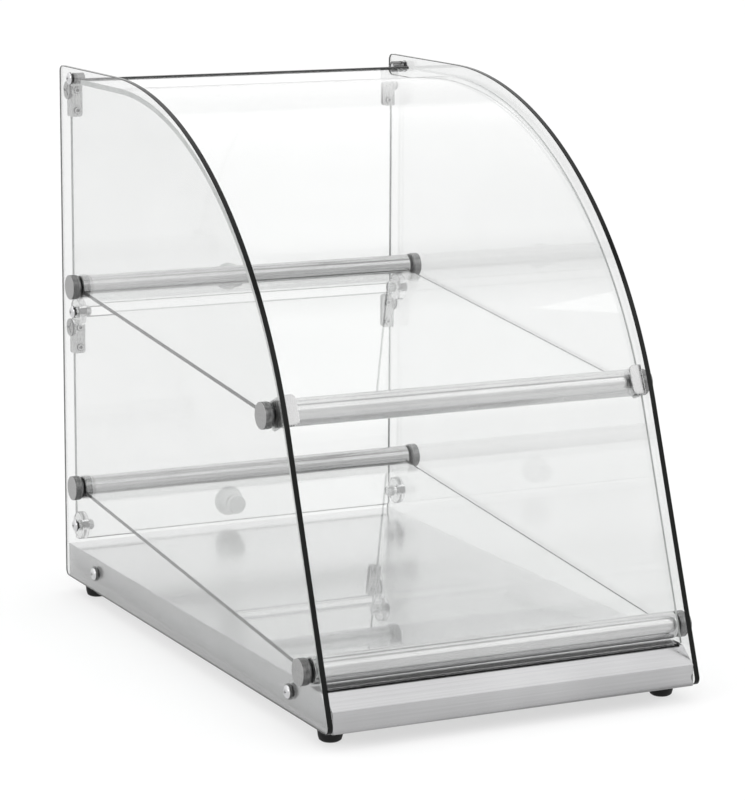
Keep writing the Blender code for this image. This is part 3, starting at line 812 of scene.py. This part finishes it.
HEAD_RADIUS = 0.0048
HEAD_HEIGHT = 0.0026
RECESS_ARM = 0.0030
RECESS_WIDTH = 0.0009
RECESS_DEPTH = 0.0008
RECESS_TURN = 0.12
RECESS_TAPER = (0.35, 0.7)
ABOVE_HEAD = 0.001
SCREW_WASHER_RADIUS = 0.0058


def paint_wall_shade(mesh, flatness):
    """Gives the second material, a darker one that paints shade, to the faces of a turned piece that lean away
    from its axis.
    """
    for face in mesh.polygons:
        if abs(face.normal.z) < flatness:
            face.material_index = 1
    return mesh


def recess_bar(top, turn):
    """A tapered bar, half of the cross recess in the top of a screw."""
    shape = bmesh.new()
    made = bmesh.ops.create_cube(shape, size=1)["verts"]
    bmesh.ops.scale(shape, verts=made, vec=(2 * RECESS_ARM, RECESS_WIDTH, RECESS_DEPTH + ABOVE_HEAD))
    bmesh.ops.translate(shape, verts=made, vec=(0, 0, top + (ABOVE_HEAD - RECESS_DEPTH) / 2))
    for vertex in made:
        if vertex.co.z < top:
            vertex.co.x *= RECESS_TAPER[0]
            vertex.co.y *= RECESS_TAPER[1]
    bmesh.ops.rotate(shape, verts=made, cent=(0, 0, 0), matrix=Matrix.Rotation(turn, 3, "Z"))
    mesh = bpy.data.meshes.new("recess")
    shape.to_mesh(mesh)
    shape.free()
    return mesh


def pan_head_screw(name, head_base, tip):
    top = head_base + HEAD_HEIGHT
    dome = []
    for step in range(9):
        angle = math.radians(90 - 90 * step / 8)
        reach, rise = math.cos(angle) ** 0.8, math.sin(angle) ** 0.75
        dome.append((HEAD_RADIUS * reach, head_base + HEAD_HEIGHT * rise))
    profile = dome + [(SCREW_RADIUS, head_base), (SCREW_RADIUS, tip), (0, tip)]
    # The head's rim and shank and its cross recess take the darker steel, as painted shade; the domed top
    # keeps the chrome.
    screw = paint_wall_shade(lathe(name, profile, 48), 0.2)
    for turn in (RECESS_TURN, RECESS_TURN + math.pi / 2):
        screw = cut(screw, recess_bar(top, turn), (CHROME, DARK_AND_SHADED_STEEL))
    return screw


def make_fasteners():
    head_base = GLASS_OUTSIDE + GAP
    bore = SCREW_RADIUS + HOLE_CLEARANCE
    disc_low, disc_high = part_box("door_stop_lower_right")
    radius = (disc_high.z - disc_low.z) / 2
    disc = ring("stop_disc", radius, bore, disc_high.x, disc_low.x, 0.0009)
    nut_low, nut_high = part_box("stop_nut_lower_right")
    nut_radius = (nut_high.z - nut_low.z) / 2
    nut_outline = [
        (nut_radius, nut_high.x), (nut_radius, nut_low.x + 0.0012), (nut_radius - 0.0009, nut_low.x),
        (bore, nut_low.x), (bore, nut_high.x),
    ]
    nut = lathe("stop_sleeve", rounded(nut_outline, (0.0003, 0.0008, 0.0005, 0, 0), 3), 48, closed=True)
    spacer_low, spacer_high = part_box("pane_spacer_right")
    spacer_radius = (spacer_high.z - spacer_low.z) / 2
    spacer = ring("top_spacer", spacer_radius, bore, spacer_high.x, spacer_low.x, 0.0004)
    long_screw = pan_head_screw("long_screw", head_base, low("stop_screw_lower_right").x)
    short_screw = pan_head_screw("short_screw", head_base, low("spacer_screw_right").x)
    base_screw = pan_head_screw("base_screw", GLASS_OUTSIDE + WASHER, low("base_screw_front_right").x)
    under_head, on_glass = GLASS_OUTSIDE + WASHER - HAIR, GLASS_OUTSIDE + HAIR
    washer = ring("screw_washer", SCREW_WASHER_RADIUS, bore, under_head, on_glass, 0.0002, 48)
    for name, side in SIDES.items():
        turn = outward(side)
        for level in ("lower", "middle"):
            axis = middle(f"stop_screw_{level}_{name}")
            place = (0, axis.y, axis.z)
            key = f"{level}_{name}"
            for made, mesh, material, slot, node_name in (
                ("disc", disc, DISC_PLASTIC, "clear_plastic", f"door_stop_{key}"),
                ("sleeve", nut, SATIN, "satin_metal", f"stop_nut_{key}"),
                ("bolt", long_screw, CHROME, "chrome_screw", f"stop_screw_{key}"),
            ):
                piece(f"stop_{made}_{key}", mesh, (material,), "case", (node_name,), place, turn)
        axis = middle(f"spacer_screw_{name}")
        place = (0, axis.y, axis.z)
        for made, mesh, material, slot, node_name in (
            ("spacer", spacer, DARK_AND_SHADED_STEEL, "satin_metal", f"pane_spacer_{name}"),
            ("bolt", short_screw, CHROME, "chrome_screw", f"spacer_screw_{name}"),
        ):
            piece(f"top_{made}_{name}", mesh, (material,), "case", (node_name,), place, turn)
        for end in ENDS:
            key = f"{end}_{name}"
            axis = middle(f"base_screw_{key}")
            place = (0, axis.y, axis.z)
            screw = f"base_screw_{key}"
            piece(f"base_bolt_{key}", base_screw, (CHROME,), "case", (screw,), place, turn)
            # Each base screw washer takes the darker steel, painted shade for the dark ring round the head.
            piece(f"base_washer_{key}", washer, (DARK_AND_SHADED_STEEL,), "case", (), place, turn)


# ---------------------------------------------------------------- hinges and knobs

BRACKET_SHEET = 0.0015
BRACKET_WIDTH = 0.0100
EAR_RADIUS = 0.0065
EAR_STEPS = 16
PIVOT_RADIUS = 0.0025
PIVOT_DISC = 0.0070
PIVOT_DISC_THICKNESS = 0.0015
CLAMP_SCREW_DROPS = (0.0, 0.0158)
CLAMP_SCREW_X = 0.1338
CLAMP_CORNER = 0.0025
CLAMP_HEAD = (0.0029, 0.0014)
CLAMP_SHANK = 0.0014
CLAMP_RIVET = (0.0022, 0.0009)
SOCKET_RADIUS = 0.0015
SOCKET_DEPTH = 0.0009
SLOT_REACH = (0.0003, 0.0048)
SLOT_HALF_WIDTH = 0.0009
SLOT_DEPTH = 0.0007


def make_bracket(level, name, side):
    """Two flanges with rounded corners, joined by a web that ends in a round ear at the pivot."""
    node_low, node_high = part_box(f"hinge_bracket_{level}_{name}")
    pivot = middle(f"hinge_pivot_{level}_{name}")
    web_out = GLASS_INSIDE - 2 * GAP - PIVOT_DISC_THICKNESS
    tip = web_out - BRACKET_WIDTH
    near = GLASS / 2 + GAP
    meshes = []
    for toward in (-1, 1):
        corners = [(web_out, node_low.z), (web_out, node_high.z), (tip, node_high.z), (tip, node_low.z)]
        radii = (FOLD, FOLD, CLAMP_CORNER, CLAMP_CORNER)
        outline = rounded([(side * x, z) for x, z in corners], radii, 6)
        flange = sheet("flange", [outline], BRACKET_SHEET, 0.0003, 2)
        meshes.append(facing_y(flange, pivot.y + toward * (near + BRACKET_SHEET / 2)))
    half = near + BRACKET_SHEET / 2
    web_low, web_high = node_low.z + 0.0004, node_high.z - 0.0004
    start = math.atan2(-math.sqrt(EAR_RADIUS**2 - half**2), half)
    outline = [Vector((pivot.y - half, web_low)), Vector((pivot.y + half, web_low))]
    for facing, web_end in ((1, web_high), (-1, None)):
        for step in range(EAR_STEPS + 1):
            angle = start - 2 * start * step / EAR_STEPS
            reach = facing * EAR_RADIUS * Vector((math.cos(angle), math.sin(angle)))
            outline.append(Vector((pivot.y, pivot.z)) + reach)
        if web_end:
            outline += [Vector((pivot.y + half, web_end)), Vector((pivot.y - half, web_end))]
    hole = circle((pivot.y, pivot.z), PIVOT_RADIUS + HOLE_CLEARANCE, 28)
    web = facing_x(sheet("web", [outline, hole], BRACKET_SHEET, 0.0002), side * (web_out - BRACKET_SHEET / 2))
    meshes.append(web)
    mesh = joined(f"door_clamp_{level}_{name}", meshes)
    node_name = f"hinge_bracket_{level}_{name}"
    piece(f"door_clamp_{level}_{name}", mesh, (SATIN,), f"{level}_door", (node_name,))


def make_clamp_screw(name, length):
    """A small socket screw with a rounded head, and its rivet end on the far flange."""
    radius, height = CLAMP_HEAD
    rivet, rivet_height = CLAMP_RIVET
    profile = [(0, height), (radius, height), (radius, 0), (CLAMP_SHANK, 0), (CLAMP_SHANK, -length)]
    profile += [(rivet, -length), (rivet, -length - rivet_height), (0, -length - rivet_height)]
    screw = lathe(name, eased(profile, 0.0006, 4), 40)
    top, floor = height + ABOVE_HEAD, height - SOCKET_DEPTH
    socket = lathe("socket", [(0, top), (SOCKET_RADIUS, top), (SOCKET_RADIUS, floor), (0, floor)], 6)
    # The head's rounded walls and its socket take near-black steel as painted shade; only its flat top keeps
    # the satin metal.
    return cut(paint_wall_shade(screw, 0.95), socket, (SATIN, BLACK_SHADE_STEEL))


def make_pivot(name, inside, step, tip):
    """A disc bonded to the glass, with a three-way slot in its outer face and a pin at its back."""
    profile = [(0, inside), (PIVOT_DISC, inside), (PIVOT_DISC, step), (PIVOT_RADIUS, step)]
    profile = eased(profile, 0.0003) + [Vector((PIVOT_RADIUS, tip)), Vector((0, tip))]
    # The disc's walls and its three slots take near-black steel as painted shade; its flat outer face keeps
    # the cap steel.
    disc = paint_wall_shade(lathe(name, profile, 56), 0.95)
    for arm in range(3):
        turn = Matrix.Rotation(math.radians(90 + 120 * arm), 4, "Z")
        near = (SLOT_REACH[0], -SLOT_HALF_WIDTH, inside - SLOT_DEPTH)
        far = (SLOT_REACH[1], SLOT_HALF_WIDTH, inside + ABOVE_HEAD)
        slot = bevelled_box("slot", near, far, 0.0002)
        slot.transform(turn)
        disc = cut(disc, slot, (CAP_STEEL, BLACK_SHADE_STEEL))
    return disc


def make_hinges():
    far = GLASS / 2 + GAP + BRACKET_SHEET
    screw = make_clamp_screw("clamp_screw", 2 * far)
    inside = GLASS_INSIDE - GAP
    step = inside - PIVOT_DISC_THICKNESS
    tip = step - GAP - BRACKET_SHEET
    pivot_mesh = make_pivot("pivot_disc", inside, step, tip)
    for level in LEVELS:
        for name, side in SIDES.items():
            make_bracket(level, name, side)
            axis = middle(f"hinge_pivot_{level}_{name}")
            key = f"{level}_{name}"
            place = (0, axis.y, axis.z)
            piece(
                f"pivot_{key}", pivot_mesh, (), "case", (f"hinge_pivot_{key}",), place,
                outward(side),
            )
            for i, drop in enumerate(CLAMP_SCREW_DROPS):
                spot = (side * CLAMP_SCREW_X, axis.y - far, axis.z - drop)
                screw_name = f"clamp_screw_{key}_{i + 1}"
                piece(screw_name, screw, (), f"{level}_door", (), spot, FACING_FRONT)


def make_knob(level):
    """A turned knob outside the door, and the round boss inside it that it screws to."""
    knob_low, knob_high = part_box(f"door_knob_{level}")
    boss_low, boss_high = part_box(f"knob_boss_{level}")
    axis = (knob_low + knob_high) / 2
    door = middle(f"{level}_door_glass").y
    radius = (knob_high.x - knob_low.x) / 2
    end = knob_high.y - door
    near = knob_low.y - door
    stud_tip = boss_high.y - door
    knob = [
        (0, end - 0.0006), (0.55 * radius, end), (0.90 * radius, end), (radius, end - 0.0016),
        (radius, end - 0.0040), (0.80 * radius, end - 0.0072), (0.645 * radius, near + 0.0022),
        (0.66 * radius, near), (0.0028, near),
    ]
    knob = eased(knob, 0.0018, 5) + [Vector((0.0028, stud_tip + GAP)), Vector((0, stud_tip + GAP))]
    boss_radius = (boss_high.x - boss_low.x) / 2
    face = boss_low.y - door
    boss = [(0, stud_tip), (KNOB_STUD, stud_tip), (KNOB_STUD, -near)]
    boss += eased([(KNOB_STUD, -near), (boss_radius, -near), (boss_radius, face), (0, face)], 0.0012, 4)[1:]
    place = (axis.x, door, axis.z)
    body = f"{level}_door"
    piece(
        f"knob_{level}", lathe("knob", knob, 64), (KNOB_PLASTIC,), body,
        (f"door_knob_{level}",), place, FACING_BACK,
    )
    piece(
        f"boss_{level}", lathe("boss", boss, 56), (KNOB_PLASTIC,), body,
        (f"knob_boss_{level}",), place, FACING_BACK,
    )


make_side_glass()
make_front_pane()
make_rear_strip()
for shelf_level in LEVELS:
    make_shelf(shelf_level)
    make_rails(shelf_level)
    make_door_glass(shelf_level)
    make_knob(shelf_level)
make_caps()
make_clips()
make_base()
make_base_angles()
make_feet()
make_fasteners()
make_hinges()


# ---------------------------------------------------------------- studio


FLOOR_HALF_SIZE = 60
FLOOR_GLOW = 0.63


def make_floor():
    mesh = bpy.data.meshes.new("floor")
    shape = bmesh.new()
    bmesh.ops.create_grid(shape, x_segments=1, y_segments=1, size=FLOOR_HALF_SIZE)
    shape.to_mesh(mesh)
    shape.free()
    made, tree, shader = new_material(
        "floor", Roughness=0.9, Specular_IOR_Level=0.0, Emission_Color=(1, 1, 1, 1),
        Emission_Strength=FLOOR_GLOW,
    )
    shade = tones(tree, noise(tree, (1.5, 1.5, 1.5), 2.0), grey(0.29), grey(0.31))
    tree.links.new(shade, shader.inputs["Base Color"])
    mesh.materials.append(made)
    floor = bpy.data.objects.new("floor", mesh)
    bpy.context.scene.collection.objects.link(floor)


# The studio's walls as (share of the way over from the front to the back, brightness)
STUDIO_BANDS = (
    (0.02, 0.80), (0.155, 0.86), (0.17, 1.40), (0.33, 1.30), (0.37, 0.50), (0.42, 0.50), (0.46, 1.25),
    (0.775, 1.30), (0.80, 0.95), (0.98, 1.0),
)
STUDIO_STRENGTH = 1.15


def make_world():
    world = bpy.data.worlds.new("studio")
    world.use_nodes = True
    bpy.context.scene.world = world
    tree = world.node_tree
    place = node(tree, "TexCoord")
    split = node(tree, "SeparateXYZ")
    forward = node(tree, "Math", {1: -1.0}, operation="MULTIPLY")
    height = node(tree, "Math", operation="ARCTAN2")
    share = node(tree, "Math", {1: math.pi}, operation="DIVIDE")
    ramp = node(tree, "ValToRGB")
    tree.links.new(place.outputs["Generated"], split.inputs[0])
    tree.links.new(split.outputs["Y"], forward.inputs[0])
    tree.links.new(split.outputs["Z"], height.inputs[0])
    tree.links.new(forward.outputs[0], height.inputs[1])
    tree.links.new(height.outputs[0], share.inputs[0])
    tree.links.new(share.outputs[0], ramp.inputs["Fac"])
    bands = ramp.color_ramp.elements
    for position, brightness in STUDIO_BANDS:
        band = bands.new(position)
        band.color = (*grey(brightness), 1)
    bands[0].color = bands[1].color
    bands[-1].color = bands[-2].color
    background = tree.nodes["Background"]
    tree.links.new(ramp.outputs["Color"], background.inputs["Color"])
    background.inputs["Strength"].default_value = STUDIO_STRENGTH


# (name, place, width, height, power)
SOFTBOXES = (
    ("top_softbox", (-0.4, -0.4, 2.2), 2.4, 1.6, 4),
    ("left_softbox", (-2.2, -0.8, 1.2), 1.4, 1.6, 5),
    ("right_softbox", (2.0, -1.2, 1.5), 1.0, 1.8, 5),
)


def add_softbox(name, place, width, height, power):
    """A lamp that looks at the middle of the case."""
    lamp = bpy.data.lights.new(name, "AREA")
    lamp.shape = "RECTANGLE"
    lamp.size = width
    lamp.size_y = height
    lamp.energy = power
    holder = bpy.data.objects.new(name, lamp)
    bpy.context.scene.collection.objects.link(holder)
    holder.location = place
    toward_case = Vector((0, 0, CASE_HEIGHT / 2)) - Vector(place)
    holder.rotation_euler = toward_case.to_track_quat("-Z", "Y").to_euler()


CAMERA_YAW = math.radians(26.16)
CAMERA_PITCH = math.radians(-10.92)
CAMERA_ROLL = math.radians(0.3)
CAMERA_PLACE = (-1.0151, -2.0840, 0.6331)
FOCAL_PIXELS = 3162.6
LONG_SIDE_PIXELS = 800
SENSOR_MM = 36.0


def add_camera():
    data = bpy.data.cameras.new("camera")
    data.sensor_width = SENSOR_MM
    data.lens = FOCAL_PIXELS * SENSOR_MM / LONG_SIDE_PIXELS
    data.clip_start = 0.05
    camera = bpy.data.objects.new("camera", data)
    bpy.context.scene.collection.objects.link(camera)
    camera.location = CAMERA_PLACE
    level = Euler((math.pi / 2 + CAMERA_PITCH, 0, -CAMERA_YAW)).to_matrix()
    camera.rotation_euler = (level @ Matrix.Rotation(CAMERA_ROLL, 3, "Z")).to_euler()
    bpy.context.scene.camera = camera


make_floor()
make_world()
for softbox in SOFTBOXES:
    add_softbox(*softbox)
add_camera()
bpy.context.scene.view_settings.view_transform = "Standard"
